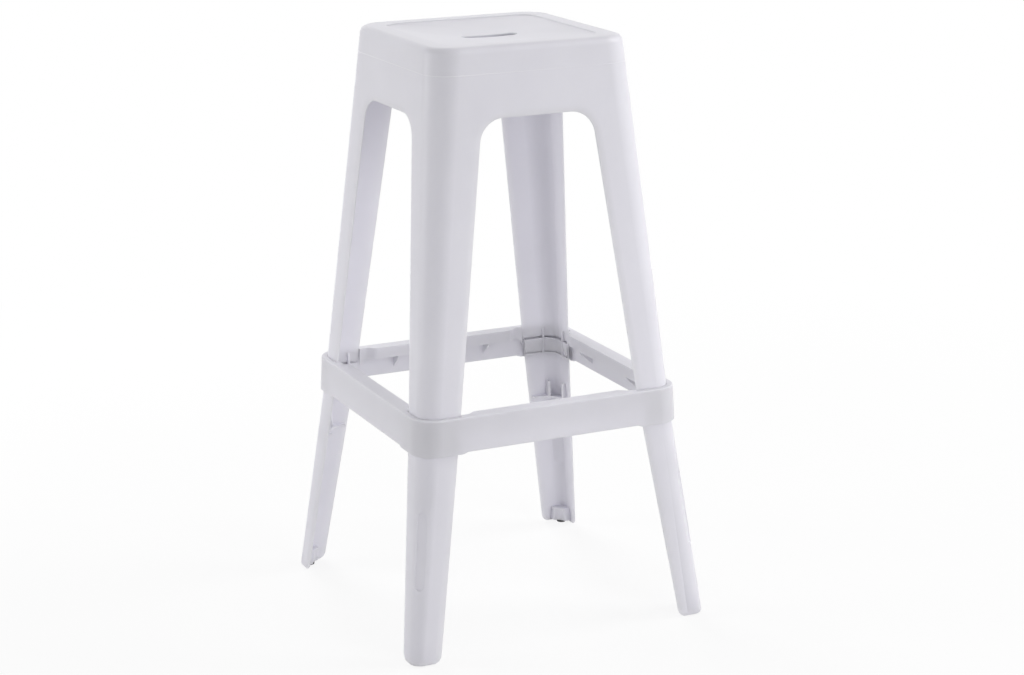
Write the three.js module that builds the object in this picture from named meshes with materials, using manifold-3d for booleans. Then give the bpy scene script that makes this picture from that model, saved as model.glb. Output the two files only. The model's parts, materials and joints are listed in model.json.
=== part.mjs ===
// Stacking bar stool in moulded plastic.
// The seat, its skirt and the four upper legs are one thin-walled moulding. A tongue on the end of each
// upper leg plugs into a separate lower leg, and a footrest ring dropped over the seat hides the four
// joints. Every foot carries a push-in glide. All walls lean outwards, so that the stools nest.
// Millimetres, +Z up. The origin is on the floor, at the middle of the footprint.
import * as THREE from 'three';
import { mergeVertices } from 'three/addons/utils/BufferGeometryUtils.js';
import Module from 'manifold-3d';

const wasm = await Module();
wasm.setup();

// Seat and overall form
const seatHeight = 750;
const seatHalf = 132.8;
const seatCornerRadius = 36.6;
const seatEdgeRadius = 10;
const seatWall = 4;
const rimWidth = 26.8;
const recessStepWidth = 2.4;
const recessStepDrop = 1.6;
const recessCornerRadius = 21;
const dishDepth = 7.4;

// Hand slot in the seat
const slotLength = 75;
const slotWidth = 18;
const slotLipRadius = 1.2;
const slotLipThickness = 1.9;
const slotReliefWidth = 3;
const slotReliefRise = 0.4;
const slotCollarWall = 2.6;
const slotCollarDepth = 13;

// Ribs below the seat
const seatRibThickness = 2.2;
const seatRibDepth = 15;
const seatRibCrown = 5;
const seatRibOffsets = [42, 86];
const crossRibOffsets = [53, 92];

// Legs
const wall = 3.6;
const legBottom = 0.9;
const kneeHalf = 174.8;
const footHalf = 206.4;
const footCornerRadius = 15.9;
const legWidthAtSeat = 70.6;
const legWidthAtKnee = 50.4;
const legWidthAtFoot = 38.1;
const bandWidth = 9.3;
const bandDepth = 2.4;
const footEdgeRadius = 10;
const footRoundRadius = 3.5;

// Arched window in each side
const windowTop = 662.7;
const windowCornerRadius = 32;

// Footrest ring
const ringBottom = 259.3;
const ringHeight = 45.9;
const ringTopHalf = 180.4;
const ringBottomHalf = 182.5;
const ringCornerRadius = 31;
const ringEdgeRadius = 3.4;
const ringWall = 3;
const ringFlangeThickness = 3;
const ringFlangeWidth = 20.4;
const ringStraightHalf = 96.7;
const ringNotchSideClearance = 4.6;
const ringLipWall = 2.4;
const ringLipHeight = 15.2;
const ringLipEndHeight = 25;
const ringLipArchRadius = 10;
const ringGussetOffset = 67;
const ringGussetThickness = 2.2;
const ringGussetHeight = 27;
const ringGussetDrop = 7;
const ringSkirtRise = 2.4;
const ringSkirtRamp = 7;
const ringPadThickness = 2.4;
const ringPadGap = 2.4;
const ringPadSpacing = 9;

// Stops on the upper legs that the ring rests on
const ringStopWidth = 9;
const ringStopHeight = 9;
const ringStopProud = 3.2;
const ringStopOffset = 26;

// Tongue that plugs into the lower leg
const tongueLength = 19;
const tongueWall = 2.6;
const tongueLedgeHeight = 3.6;
const tongueEdgeSetback = 1.2;
const kneeRibHeight = 14.6;
const kneeRibThickness = 2.2;
const kneeRibProud = 0.8;
const kneeRibOffsets = [21, 38];

// Shelf inside the lower leg that rests on the ring of the stool below
const shelfTop = 199.3;
const shelfThickness = 3;
const shelfGussetHeight = 22;
const shelfGussetThickness = 2.2;
const shelfGussetOffsets = [19.5, 34];
const shelfSetback = 5;

// Oblong recess on the outer corner of the lower leg
const oblongBottom = 94.2;
const oblongTop = 191.9;
const oblongWidth = 13;
const oblongDepth = 1.8;

// Foot block and glide; the disc of the glide stands in the pocket below the block
const footBlockBottom = 3.5;
const footBlockTop = 22.3;
const footBlockWidth = 25.6;
const glideInset = 13;
const glideRadius = 6.5;
const glideEdgeRadius = 0.8;
const glideStemRadius = 3;
const glideStemLength = 12;
const glideStemChamfer = 1;

// Clearances and the overrun of every cut
const fitClearance = 0.3;
const stackClearance = 0.6;
const overrun = 6;

// Counts and shares
const cornerSegments = 8;
const filletSegments = 5;
const curveSegments = 6;
const glideSegments = 20;
const dishShares = [0.86, 0.7, 0.5, 0.25];
const flangeBendShare = 0.67;
const sides = [0, 1, 2, 3];
const signs = [-1, 1];

// Sizes that follow from the ones above
const kneeHeight = ringBottom + ringHeight / 2;
const ringTop = ringBottom + ringHeight;
const flangeBottom = ringTop - ringFlangeThickness;
const flangeHalf = ringTopHalf - ringFlangeWidth;
const stackPitch = ringTop - (shelfTop - shelfThickness);
const tongueBottom = kneeHeight - tongueLength;
const tongueOuterDepth = wall + fitClearance;
const tongueInnerDepth = tongueOuterDepth + tongueWall;
const rootDepth = (bandDepth + wall) / 2;
const reach = footHalf + ringBottomHalf;

const between = (low, high, share) => low + (high - low) * share;
const isUpper = z => z >= kneeHeight;
const upperShare = z => (z - kneeHeight) / (seatHeight - kneeHeight);
const lowerShare = z => (z - legBottom) / (kneeHeight - legBottom);

// Outer half-width, leg width and corner radius of the stool at a height
function halfAt(z) {
  if (isUpper(z)) return between(kneeHalf, seatHalf, upperShare(z));
  return between(footHalf, kneeHalf, lowerShare(z));
}

function legWidthAt(z) {
  if (isUpper(z)) return between(legWidthAtKnee, legWidthAtSeat, upperShare(z));
  return between(legWidthAtFoot, legWidthAtKnee, lowerShare(z));
}

function cornerAt(z) {
  return between(footCornerRadius, seatCornerRadius, (z - legBottom) / (seatHeight - legBottom));
}

// Closed solids from sections
function solidFrom(geometry) {
  const bare = new THREE.BufferGeometry();
  bare.setAttribute('position', geometry.getAttribute('position').clone());
  if (geometry.index) bare.setIndex(geometry.index.clone());
  const merged = mergeVertices(bare);
  const vertProperties = new Float32Array(merged.getAttribute('position').array);
  const triVerts = new Uint32Array(merged.index.array);
  return new wasm.Manifold(new wasm.Mesh({ numProp: 3, vertProperties, triVerts }));
}

function geometryFrom(solid) {
  const mesh = solid.getMesh();
  const geometry = new THREE.BufferGeometry();
  geometry.setAttribute('position', new THREE.BufferAttribute(mesh.vertProperties, mesh.numProp));
  geometry.setIndex(new THREE.BufferAttribute(mesh.triVerts, 1));
  geometry.computeVertexNormals();
  return geometry;
}

// Sections are outlines with equal point counts, each at its own height along Z
function loftGeometry(sections) {
  const count = sections[0].outline.length;
  const positions = sections.flatMap(({ outline, z }) => outline.flatMap(point => [point.x, point.y, z]));
  const index = [];
  for (let level = 0; level + 1 < sections.length; level++) {
    for (let i = 0; i < count; i++) {
      const next = (i + 1) % count;
      const low = level * count;
      const high = low + count;
      index.push(low + i, low + next, high + next, low + i, high + next, high + i);
    }
  }
  const last = (sections.length - 1) * count;
  for (const [a, b, c] of THREE.ShapeUtils.triangulateShape(sections[0].outline, [])) index.push(c, b, a);
  for (const face of THREE.ShapeUtils.triangulateShape(sections.at(-1).outline, [])) {
    index.push(...face.map(corner => corner + last));
  }
  const geometry = new THREE.BufferGeometry();
  geometry.setAttribute('position', new THREE.Float32BufferAttribute(positions, 3));
  geometry.setIndex(index);
  return geometry;
}

function loft(sections, matrix = new THREE.Matrix4()) {
  return solidFrom(loftGeometry(sections).applyMatrix4(matrix));
}

function prism(shape, low, high, matrix = new THREE.Matrix4()) {
  const geometry = new THREE.ExtrudeGeometry(shape, {
    depth: high - low, bevelEnabled: false, curveSegments,
  });
  geometry.translate(0, 0, low);
  return solidFrom(geometry.applyMatrix4(matrix));
}

const rectangle = (left, low, right, high) => new THREE.Shape([
  new THREE.Vector2(left, low), new THREE.Vector2(right, low),
  new THREE.Vector2(right, high), new THREE.Vector2(left, high),
]);

const block = (x0, y0, z0, x1, y1, z1) => prism(rectangle(x0, y0, x1, y1), z0, z1);

const quarterTurn = side => new THREE.Matrix4().makeRotationZ(side * Math.PI / 2);

// The same solid on each of the four sides, joined into one
function onEverySide(makeSolid) {
  return sides.map(side => makeSolid(quarterTurn(side))).reduce((all, solid) => all.add(solid));
}

// Square outline with rounded corners, anticlockwise from above
function squareOutline(half, radius) {
  const centre = half - radius;
  return sides.flatMap(side => {
    const start = Math.PI + side * Math.PI / 2;
    const centreX = centre * Math.sign(Math.cos(start + Math.PI / 4));
    const centreY = centre * Math.sign(Math.sin(start + Math.PI / 4));
    return Array.from({ length: cornerSegments + 1 }, (_, i) => {
      const angle = start + i / cornerSegments * Math.PI / 2;
      return new THREE.Vector2(centreX + radius * Math.cos(angle), centreY + radius * Math.sin(angle));
    });
  });
}

const squareSection = (half, radius, z) => ({ outline: squareOutline(half, radius), z });

// Section of the stool's outer form at a height, drawn in by a depth
const formSection = (z, depth) => squareSection(halfAt(z) - depth, cornerAt(z) - depth, z);

// Frame of one leaning side: X across, Y up the slope from the knee, Z out of the face
function sideFrame(topZ, side) {
  const knee = new THREE.Vector3(0, -kneeHalf, kneeHeight);
  const top = new THREE.Vector3(0, -halfAt(topZ), topZ);
  const across = new THREE.Vector3(1, 0, 0);
  const up = top.clone().sub(knee).normalize();
  if (topZ < kneeHeight) up.negate();
  const out = across.clone().cross(up);
  return new THREE.Matrix4().makeBasis(across, up, out).setPosition(knee).premultiply(side);
}

const slopeLength = z => Math.sign(z - kneeHeight) * Math.hypot(z - kneeHeight, halfAt(z) - kneeHalf);

// Leg edge as seen square to the side: its distance from the middle at the knee and its lean
function legEdge(farZ) {
  const atKnee = kneeHalf - legWidthAtKnee;
  const atFar = halfAt(farZ) - legWidthAt(farZ);
  const lean = (atKnee - atFar) / slopeLength(farZ);
  return { atKnee, lean, slant: Math.hypot(1, lean) };
}

// Opening between two upper legs, grown by a margin: round top corners, open past the leg ends
function upperOutline(margin) {
  const { atKnee, lean, slant } = legEdge(seatHeight);
  const top = slopeLength(windowTop);
  const low = slopeLength(tongueBottom) - overrun;
  const centreY = top - windowCornerRadius;
  const centreX = atKnee - lean * centreY - windowCornerRadius * slant;
  const radius = windowCornerRadius + margin;
  const first = Math.atan(lean);
  const right = Array.from({ length: cornerSegments + 1 }, (_, i) => {
    const angle = between(first, Math.PI / 2, i / cornerSegments);
    return new THREE.Vector2(centreX + radius * Math.cos(angle), centreY + radius * Math.sin(angle));
  });
  right.unshift(new THREE.Vector2(atKnee - lean * low + margin * slant, low));
  const left = right.map(point => new THREE.Vector2(-point.x, point.y)).reverse();
  return [...right, ...left];
}

// Opening between two lower legs: its edges flare out in a round at the foot
function lowerOutline(margin) {
  const { atKnee, lean, slant } = legEdge(legBottom);
  const low = slopeLength(legBottom);
  const high = -slopeLength(kneeHeight - overrun);
  const edgeAt = y => atKnee - lean * y + margin * slant;
  const right = Array.from({ length: curveSegments + 1 }, (_, i) => {
    const angle = i / curveSegments * Math.PI / 2;
    const rise = footEdgeRadius * (1 - Math.cos(angle));
    const flare = footEdgeRadius * (1 - Math.sin(angle));
    return new THREE.Vector2(edgeAt(low + rise) + flare, low + rise);
  });
  right.unshift(new THREE.Vector2(edgeAt(low) + footEdgeRadius, low - overrun));
  right.push(new THREE.Vector2(edgeAt(high), high));
  const left = right.map(point => new THREE.Vector2(-point.x, point.y)).reverse();
  return [...right, ...left];
}

const upperFrame = side => sideFrame(seatHeight, side);
const lowerFrame = side => sideFrame(legBottom, side);

// Openings on all four sides, grown by a margin
function openings(outline, frame, margin) {
  return onEverySide(side => loft([
    { outline: outline(margin), z: -tongueInnerDepth - overrun },
    { outline: outline(margin), z: overrun },
  ], frame(side)));
}

// Sloped band that thins the wall round each opening
function edgeBands(outline, frame) {
  return onEverySide(side => loft([
    { outline: outline(0), z: -bandDepth },
    { outline: outline(bandWidth), z: 0 },
    { outline: outline(bandWidth), z: overrun },
  ], frame(side)));
}

// Seat: round edge, flat rim, step and a dish that turns from square to round, at a depth below the surface
function seatSections(depth) {
  const roundCentreZ = seatHeight - seatEdgeRadius;
  const lean = Math.atan((kneeHalf - seatHalf) / (seatHeight - kneeHeight));
  const roundCentreHalf = halfAt(roundCentreZ) - seatEdgeRadius / Math.cos(lean);
  const cornerInset = halfAt(roundCentreZ) - cornerAt(roundCentreZ);
  const drop = depth * seatWall / wall;
  const round = Array.from({ length: filletSegments + 1 }, (_, i) => {
    const angle = between(lean, Math.PI / 2, i / filletSegments);
    const half = roundCentreHalf + (seatEdgeRadius - depth) * Math.cos(angle);
    const z = roundCentreZ + (seatEdgeRadius - drop) * Math.sin(angle);
    return squareSection(half, half - cornerInset, z);
  });
  const surface = seatHeight - drop;
  const rimHalf = seatHalf - rimWidth;
  const recessHalf = rimHalf - recessStepWidth;
  const dish = dishShares.map(share => {
    const half = recessHalf * share;
    const radius = between(half, Math.min(recessCornerRadius, half), share * share);
    return squareSection(half, radius, surface - recessStepDrop - dishDepth * (1 - share * share));
  });
  return [
    ...round,
    squareSection(rimHalf, recessCornerRadius + recessStepWidth, surface),
    squareSection(recessHalf, recessCornerRadius, surface - recessStepDrop),
    ...dish,
  ];
}

// Closed form of seat and upper legs at a depth below the outer surface
function upperForm(depth) {
  const low = depth > 0 ? kneeHeight - overrun : kneeHeight;
  return loft([formSection(low, depth), ...seatSections(depth)]);
}

// Section of the lower legs, whose slope also runs on above the knee
function lowerSection(z, depth) {
  const half = between(footHalf, kneeHalf, lowerShare(z));
  return squareSection(half - depth, cornerAt(z) - depth, z);
}

const lowerForm = (low, high, depth) => loft([lowerSection(low, depth), lowerSection(high, depth)]);

// Thin plate standing on the inner face of a leg wall, at a distance from the corner of the leg
function wallRib(offset, face, thickness, innerHalf, low, high) {
  const z = (low + high) / 2;
  const place = halfAt(z) - offset;
  const plate = [-place - thickness / 2, -place + thickness / 2];
  if (face === 0) return block(plate[0], -reach, low, plate[1], -innerHalf, high);
  return block(-reach, plate[0], low, -innerHalf, plate[1], high);
}

const stadium = (length, width) => {
  const straight = (length - width) / 2;
  const shape = new THREE.Shape();
  shape.absarc(straight, 0, width / 2, -Math.PI / 2, Math.PI / 2);
  shape.absarc(-straight, 0, width / 2, Math.PI / 2, Math.PI * 3 / 2);
  return shape;
};

const stadiumSection = (margin, z) => ({
  outline: stadium(slotLength + 2 * margin, slotWidth + 2 * margin).getPoints(cornerSegments).slice(0, -1), z,
});

// Hand slot with a thin lip round its upper edge and a wider space below it
function slotCut() {
  const lipZ = seatHeight - recessStepDrop - dishDepth;
  const lip = Array.from({ length: filletSegments }, (_, i) => {
    const angle = i / (filletSegments - 1) * Math.PI / 2;
    const flare = slotLipRadius * (1 - Math.cos(angle));
    return stadiumSection(flare, lipZ - slotLipRadius * (1 - Math.sin(angle)));
  });
  const low = lipZ - seatWall - slotCollarDepth - overrun;
  const lipLow = lipZ - slotLipThickness;
  return loft([
    stadiumSection(slotReliefWidth, low),
    stadiumSection(slotReliefWidth, lipLow - slotReliefRise),
    stadiumSection(0, lipLow),
    ...lip,
    stadiumSection(slotLipRadius, lipZ + overrun),
  ]);
}

function slotCollar() {
  const top = seatHeight - recessStepDrop - dishDepth - seatWall / 2;
  const width = slotReliefWidth + slotCollarWall;
  return loft([
    stadiumSection(width, top - seatWall / 2 - slotCollarDepth),
    stadiumSection(width, top),
  ]);
}

// Rib below the seat, from skirt to skirt, with a crowned lower edge
function seatRib(offset, alongX) {
  const top = seatHeight;
  const low = seatHeight - recessStepDrop - dishDepth - seatWall - seatRibDepth;
  const half = halfAt(low);
  const shape = new THREE.Shape();
  shape.moveTo(-half, top);
  shape.lineTo(-half, low);
  shape.quadraticCurveTo(0, low + 2 * seatRibCrown, half, low);
  shape.lineTo(half, top);
  const across = alongX ? new THREE.Vector3(1, 0, 0) : new THREE.Vector3(0, 1, 0);
  const up = new THREE.Vector3(0, 0, 1);
  const matrix = new THREE.Matrix4().makeBasis(across, up, across.clone().cross(up));
  const plate = prism(shape, -seatRibThickness / 2, seatRibThickness / 2, matrix);
  return signs.map(sign => {
    const shift = sign * offset;
    return plate.translate(alongX ? [0, shift, 0] : [shift, 0, 0]);
  }).reduce((all, rib) => all.add(rib));
}

// Ribs and slot collar, rooted in the middle of the walls
function seatRibs() {
  const ribs = [
    ...seatRibOffsets.map(offset => seatRib(offset, true)),
    ...crossRibOffsets.map(offset => seatRib(offset, false)),
    slotCollar(),
  ].reduce((all, rib) => all.add(rib));
  return ribs.intersect(upperForm(wall / 2));
}

const ringStopPlace = halfAt(flangeBottom) - ringStopOffset;

// Wedge on the outer face of an upper leg that carries the footrest ring
function ringStops(side) {
  const top = flangeBottom - fitClearance;
  const low = top - ringStopHeight;
  const shape = new THREE.Shape([
    new THREE.Vector2(halfAt(top) + ringStopProud, top),
    new THREE.Vector2(halfAt(top) - wall / 2, top),
    new THREE.Vector2(halfAt(low) - wall / 2, low),
    new THREE.Vector2(halfAt(low), low),
  ]);
  const out = new THREE.Vector3(0, -1, 0);
  const up = new THREE.Vector3(0, 0, 1);
  const matrix = new THREE.Matrix4().makeBasis(out, up, out.clone().cross(up)).premultiply(side);
  return signs.map(sign => {
    const middle = sign * ringStopPlace;
    return prism(shape, middle - ringStopWidth / 2, middle + ringStopWidth / 2, matrix);
  }).reduce((all, stop) => all.add(stop));
}

// Tongue below each upper leg, with its ledge and the ribs that stiffen the step
function tongues() {
  const ledgeTop = kneeHeight + tongueLedgeHeight;
  const ribHalf = z => halfAt(z) - tongueInnerDepth - kneeRibProud;
  const stem = lowerForm(tongueBottom, kneeHeight + overrun, tongueOuterDepth)
    .intersect(block(-reach, -reach, tongueBottom, reach, reach, ledgeTop));
  const hollow = lowerForm(tongueBottom - overrun, kneeHeight + 2 * overrun, tongueInnerDepth);
  const neck = upperForm(rootDepth).intersect(block(-reach, -reach, kneeHeight, reach, reach, ledgeTop));
  const ribTop = kneeHeight + tongueLedgeHeight + kneeRibHeight;
  const inner = ribHalf(kneeHeight);
  const ribs = onEverySide(side => kneeRibOffsets
    .map((offset, face) => wallRib(offset, face, kneeRibThickness, inner, tongueBottom, ribTop))
    .reduce((all, rib) => all.add(rib))
    .transform(side.elements));
  const ribSpace = stem.add(upperForm(rootDepth)
    .intersect(block(-reach, -reach, kneeHeight, reach, reach, ribTop)));
  return stem.add(neck).subtract(hollow).add(ribs.intersect(ribSpace));
}

function buildSeatBody() {
  return upperForm(0)
    .subtract(edgeBands(upperOutline, upperFrame))
    .subtract(upperForm(wall))
    .add(seatRibs())
    .add(tongues().subtract(openings(lowerOutline, lowerFrame, tongueEdgeSetback)))
    .add(onEverySide(ringStops))
    .subtract(openings(upperOutline, upperFrame, 0))
    .subtract(slotCut());
}

// Frame on the outer corner of the front left lower leg: X across, Y up the corner, Z out
function cornerFrame(z) {
  const cornerReach = height => {
    const centre = halfAt(height) - cornerAt(height);
    return centre + cornerAt(height) * Math.SQRT1_2;
  };
  const pointAt = height => new THREE.Vector3(-cornerReach(height), -cornerReach(height), height);
  const up = pointAt(oblongTop).sub(pointAt(oblongBottom)).normalize();
  const across = new THREE.Vector3(1, -1, 0).normalize();
  return new THREE.Matrix4().makeBasis(across, up, across.clone().cross(up)).setPosition(pointAt(z));
}

function oblongPrism(margin, low, high) {
  const upright = stadium(oblongTop - oblongBottom + 2 * margin, oblongWidth + 2 * margin);
  const turned = new THREE.Matrix4().makeRotationZ(Math.PI / 2);
  return prism(upright, low, high, turned.premultiply(cornerFrame((oblongBottom + oblongTop) / 2)));
}

// Space that the stool below fills when two are stacked
function stackedColumn(low, high, clearance) {
  return loft([low, high].map(z => {
    const level = z + stackPitch;
    return squareSection(halfAt(level) + clearance, cornerAt(level) + clearance, z);
  }));
}

function shelf(cavity) {
  const low = shelfTop - shelfThickness;
  const inner = halfAt(ringTop) + stackClearance;
  const openMiddle = loft([
    squareSection(inner, cornerAt(ringTop), low - overrun),
    squareSection(inner, cornerAt(ringTop), shelfTop + shelfGussetHeight + overrun),
  ]);
  const plate = block(-reach, -reach, low, 0, 0, shelfTop);
  const gussets = shelfGussetOffsets
    .map((offset, face) => wallRib(offset, face, shelfGussetThickness, 0, low, shelfTop + shelfGussetHeight))
    .reduce((all, gusset) => all.add(gusset));
  return plate.add(gussets)
    .intersect(cavity)
    .subtract(openMiddle)
    .subtract(openings(lowerOutline, lowerFrame, shelfSetback));
}

function footBlock(cavity) {
  const limit = footHalf - footBlockWidth;
  const body = block(-reach, -reach, footBlockBottom, -limit, -limit, footBlockTop);
  return body.intersect(cavity).subtract(stackedColumn(-overrun, footBlockTop + overrun, stackClearance));
}

// Rounded lower edge of the leg
function footRound() {
  return Array.from({ length: curveSegments / 2 + 1 }, (_, i) => {
    const angle = i / (curveSegments / 2) * Math.PI / 2;
    const z = legBottom + footRoundRadius * (1 - Math.cos(angle));
    return lowerSection(z, footRoundRadius * (1 - Math.sin(angle)));
  });
}

const glideCentre = footHalf - glideInset;

function glideBore() {
  const shape = new THREE.Shape();
  shape.absarc(-glideCentre, -glideCentre, glideStemRadius + fitClearance, 0, Math.PI * 2);
  return prism(shape, -overrun, footBlockBottom + glideStemLength + fitClearance);
}

function buildLowerLeg() {
  const top = kneeHeight - fitClearance;
  const quarter = block(-reach, -reach, 0, 0, 0, kneeHeight);
  const hollow = lowerForm(legBottom - overrun, top + overrun, wall);
  const cavity = lowerForm(legBottom, top, rootDepth).intersect(quarter);
  const pad = oblongPrism(wall / 2, -oblongDepth - wall, -oblongDepth).intersect(cavity);
  return loft([...footRound(), lowerSection(top, 0)])
    .intersect(quarter)
    .subtract(edgeBands(lowerOutline, lowerFrame))
    .subtract(hollow)
    .add(pad)
    .add(shelf(cavity))
    .add(footBlock(cavity))
    .subtract(openings(lowerOutline, lowerFrame, 0))
    .subtract(oblongPrism(0, -oblongDepth, overrun))
    .subtract(glideBore());
}

// Push-in glide: domed disc and stem in one piece
function buildGlide() {
  const stemTop = footBlockBottom + glideStemLength;
  const discTop = footBlockBottom - fitClearance;
  const edge = Array.from({ length: filletSegments }, (_, i) => {
    const angle = i / (filletSegments - 1) * Math.PI / 2;
    return new THREE.Vector2(
      glideRadius - glideEdgeRadius * (1 - Math.sin(angle)),
      glideEdgeRadius * (1 - Math.cos(angle)),
    );
  });
  const profile = [
    new THREE.Vector2(0, 0),
    ...edge,
    new THREE.Vector2(glideRadius, discTop),
    new THREE.Vector2(glideStemRadius, discTop),
    new THREE.Vector2(glideStemRadius, stemTop - glideStemChamfer),
    new THREE.Vector2(glideStemRadius - glideStemChamfer, stemTop),
    new THREE.Vector2(0, stemTop),
  ];
  const geometry = new THREE.LatheGeometry(profile, glideSegments).rotateX(Math.PI / 2);
  return solidFrom(geometry.translate(-glideCentre, -glideCentre, 0));
}

// Edge of the ring's opening along one side, from the left leg to the right one, at a height.
// It bows in between the legs, and draws back beside them to let the legs of a stacked stool pass.
function flangeEdge(z, growth) {
  const legGap = halfAt(z) - legWidthAt(z) - fitClearance;
  const notch = halfAt(ringTop + stackPitch) + ringNotchSideClearance;
  const bendEnd = between(ringStraightHalf, legGap, flangeBendShare);
  const bendMiddle = (ringStraightHalf + bendEnd) / 2;
  const bend = new THREE.CubicBezierCurve(
    new THREE.Vector2(-bendEnd, -notch - growth),
    new THREE.Vector2(-bendMiddle, -notch - growth),
    new THREE.Vector2(-bendMiddle, -flangeHalf - growth),
    new THREE.Vector2(-ringStraightHalf, -flangeHalf - growth),
  );
  const left = [new THREE.Vector2(-legGap, -notch - growth), ...bend.getPoints(curveSegments)];
  const right = left.map(point => new THREE.Vector2(-point.x, point.y)).reverse();
  return [...left, ...right];
}

// Outline of the ring's opening: close to each leg outside, and along the flange edge between legs
function openingOutline(z) {
  const half = halfAt(z) + fitClearance;
  const corners = squareOutline(half, cornerAt(z) + fitClearance);
  const edge = flangeEdge(z, 0);
  const legGap = edge[0].x;
  const path = [new THREE.Vector2(legGap, -half), ...edge, new THREE.Vector2(-legGap, -half)];
  return sides.flatMap(side => {
    const turn = side * Math.PI / 2;
    const corner = corners.slice(side * (cornerSegments + 1), (side + 1) * (cornerSegments + 1));
    return [...corner, ...path.map(point => point.clone().rotateAround(new THREE.Vector2(), turn))];
  });
}

// Short inner lip of the ring along one side, arched away between its ends
function ringLip(side) {
  const inner = flangeEdge(ringTop, 0);
  const outer = flangeEdge(ringTop, ringLipWall).reverse();
  const lip = prism(new THREE.Shape([...outer, ...inner]), ringTop - ringLipEndHeight,
    ringTop - ringFlangeThickness / 2);
  const archHalf = -inner[0].x;
  const archTop = ringTop - ringLipHeight;
  const arch = new THREE.Shape();
  arch.moveTo(-archHalf, archTop - ringLipEndHeight);
  arch.lineTo(archHalf, archTop - ringLipEndHeight);
  arch.lineTo(archHalf, archTop - ringLipArchRadius);
  arch.absarc(archHalf - ringLipArchRadius, archTop - ringLipArchRadius, ringLipArchRadius, 0, Math.PI / 2);
  arch.lineTo(ringLipArchRadius - archHalf, archTop);
  arch.absarc(ringLipArchRadius - archHalf, archTop - ringLipArchRadius, ringLipArchRadius,
    Math.PI / 2, Math.PI);
  const across = new THREE.Vector3(1, 0, 0);
  const up = new THREE.Vector3(0, 0, 1);
  const matrix = new THREE.Matrix4().makeBasis(across, up, across.clone().cross(up));
  const cut = prism(arch, flangeHalf - overrun, ringTopHalf, matrix);
  return lip.subtract(cut).transform(side.elements);
}

// Web between the lip and the outer wall of the ring
function ringGussets(side) {
  const shape = new THREE.Shape([
    new THREE.Vector2(flangeHalf, ringTop - ringFlangeThickness / 2),
    new THREE.Vector2(flangeHalf, ringTop - ringGussetHeight),
    new THREE.Vector2(ringTopHalf - ringWall / 2, ringTop - ringGussetHeight - ringGussetDrop),
    new THREE.Vector2(ringTopHalf - ringWall / 2, ringTop - ringFlangeThickness / 2),
  ]);
  const out = new THREE.Vector3(0, -1, 0);
  const up = new THREE.Vector3(0, 0, 1);
  const matrix = new THREE.Matrix4().makeBasis(out, up, out.clone().cross(up)).premultiply(side);
  return signs.map(sign => {
    const middle = sign * ringGussetOffset;
    return prism(shape, middle - ringGussetThickness / 2, middle + ringGussetThickness / 2, matrix);
  }).reduce((all, gusset) => all.add(gusset));
}

// Upright pads inside the ring's corners that bear on the legs
function ringPads(side) {
  const nearest = ringStopPlace - (ringStopWidth + ringPadThickness) / 2 - ringPadGap;
  const pads = [nearest, nearest - ringPadSpacing].flatMap(place => signs.map(sign => {
    const middle = sign * place;
    return block(middle - ringPadThickness / 2, -ringTopHalf + ringWall / 2, ringBottom,
      middle + ringPadThickness / 2, -halfAt(ringTop), flangeBottom);
  }));
  return pads.reduce((all, pad) => all.add(pad)).transform(side.elements);
}

// Cut that lifts the ring's lower edge between the legs
function ringSkirtCut(side) {
  const edge = kneeHalf - legWidthAtKnee;
  const shape = new THREE.Shape([
    new THREE.Vector2(-edge, ringBottom - overrun),
    new THREE.Vector2(edge, ringBottom - overrun),
    new THREE.Vector2(edge, ringBottom),
    new THREE.Vector2(edge - ringSkirtRamp, ringBottom + ringSkirtRise),
    new THREE.Vector2(ringSkirtRamp - edge, ringBottom + ringSkirtRise),
    new THREE.Vector2(-edge, ringBottom),
  ]);
  const across = new THREE.Vector3(1, 0, 0);
  const up = new THREE.Vector3(0, 0, 1);
  const matrix = new THREE.Matrix4().makeBasis(across, up, across.clone().cross(up)).premultiply(side);
  return prism(shape, flangeHalf, ringBottomHalf + overrun, matrix);
}

function buildRing() {
  const ringHalfAt = z => between(ringBottomHalf, ringTopHalf, (z - ringBottom) / ringHeight);
  const edgeZ = ringTop - ringEdgeRadius;
  const round = Array.from({ length: filletSegments }, (_, i) => {
    const angle = i / (filletSegments - 1) * Math.PI / 2;
    const inset = ringEdgeRadius * (1 - Math.cos(angle));
    return squareSection(ringHalfAt(edgeZ) - inset, ringCornerRadius - inset,
      edgeZ + ringEdgeRadius * Math.sin(angle));
  });
  const outer = loft([squareSection(ringBottomHalf, ringCornerRadius, ringBottom), ...round]);
  const channelSection = z => squareSection(ringHalfAt(z) - ringWall, ringCornerRadius - ringWall, z);
  const channel = loft([channelSection(ringBottom - overrun), channelSection(flangeBottom)]);
  const openingAt = z => ({ outline: openingOutline(z), z });
  const opening = loft([openingAt(flangeBottom - ringFlangeThickness / 2), openingAt(ringTop + overrun)]);
  const legSpace = loft([ringBottom - overrun, kneeHeight, ringTop + overrun]
    .map(z => formSection(z, -fitClearance)));
  return outer
    .subtract(channel)
    .add(onEverySide(ringPads).intersect(outer).subtract(legSpace))
    .subtract(opening)
    .add(onEverySide(ringLip))
    .add(onEverySide(ringGussets))
    .subtract(onEverySide(ringSkirtCut));
}

// Materials and assembly
const bodyFinish = { color: 0xe9ebf2, roughness: 0.46, metalness: 0 };
const ringFinish = { color: 0xe9ebf2, roughness: 0.46, metalness: 0 };
const glideFinish = { color: 0x3a3b3e, roughness: 0.62, metalness: 0 };

function piece(name, geometry, finish, side = 0) {
  const mesh = new THREE.Mesh(geometry, new THREE.MeshStandardMaterial({ ...finish, flatShading: true }));
  mesh.name = name;
  mesh.rotation.z = side * Math.PI / 2;
  return mesh;
}

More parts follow.
